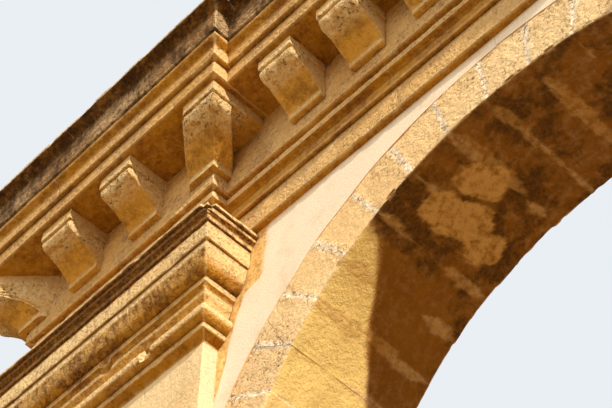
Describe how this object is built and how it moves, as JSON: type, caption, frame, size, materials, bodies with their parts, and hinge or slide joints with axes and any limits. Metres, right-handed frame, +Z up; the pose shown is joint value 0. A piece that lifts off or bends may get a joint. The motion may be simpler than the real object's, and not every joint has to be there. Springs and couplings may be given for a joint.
{
  "type": "triumphal arch",
  "caption": "Single-bay triumphal arch of weathered limestone with pilaster piers and a console cornice that breaks forward over them.",
  "frame": {"origin": "on the ground in the middle of the archway, halfway through the wall", "axes": "+Z up, X along the front, -Y towards the viewer of the front"},
  "size_m": [9.82, 2.856, 11.755],
  "materials": {
    "plinth_stone": "weathered",
    "pier_stone": "weathered",
    "ring_stone": "rough weathered",
    "carved_stone": "weathered",
    "console_stone": "weathered",
    "crusted_stone": "black crust",
    "plaster": "smooth lime plaster"
  },
  "bodies": {
    "root": {"socle_left": "plinth_stone", "socle_right": "plinth_stone", "plinth_left": "plinth_stone", "plinth_right": "plinth_stone", "pier_base_left": "pier_stone", "pier_base_right": "pier_stone", "shaft_left": "pier_stone", "shaft_right": "pier_stone", "jamb_left": "ring_stone", "jamb_right": "ring_stone", "capital_left": "carved_stone", "capital_right": "carved_stone", "ring_springer_left": "ring_stone", "ring_haunch_left": "ring_stone", "ring_crown": "ring_stone", "ring_haunch_right": "ring_stone", "ring_springer_right": "ring_stone", "spandrel_left": "plaster", "spandrel_right": "plaster", "architrave_left": "carved_stone", "architrave_centre": "carved_stone", "architrave_right": "carved_stone", "frieze_left": "carved_stone", "frieze_centre": "carved_stone", "frieze_right": "carved_stone", "consoles_front_left": "console_stone", "consoles_front_centre": "console_stone", "consoles_front_right": "console_stone", "consoles_rear_left": "console_stone", "consoles_rear_centre": "console_stone", "consoles_rear_right": "console_stone", "console_end_left": "console_stone", "console_end_right": "console_stone", "corona_left": "carved_stone", "corona_centre": "carved_stone", "corona_right": "carved_stone", "sima_left": "crusted_stone", "sima_centre": "crusted_stone", "sima_right": "crusted_stone", "coping_left": "crusted_stone", "coping_centre": "crusted_stone", "coping_right": "crusted_stone"}
  },
  "joints": []
}
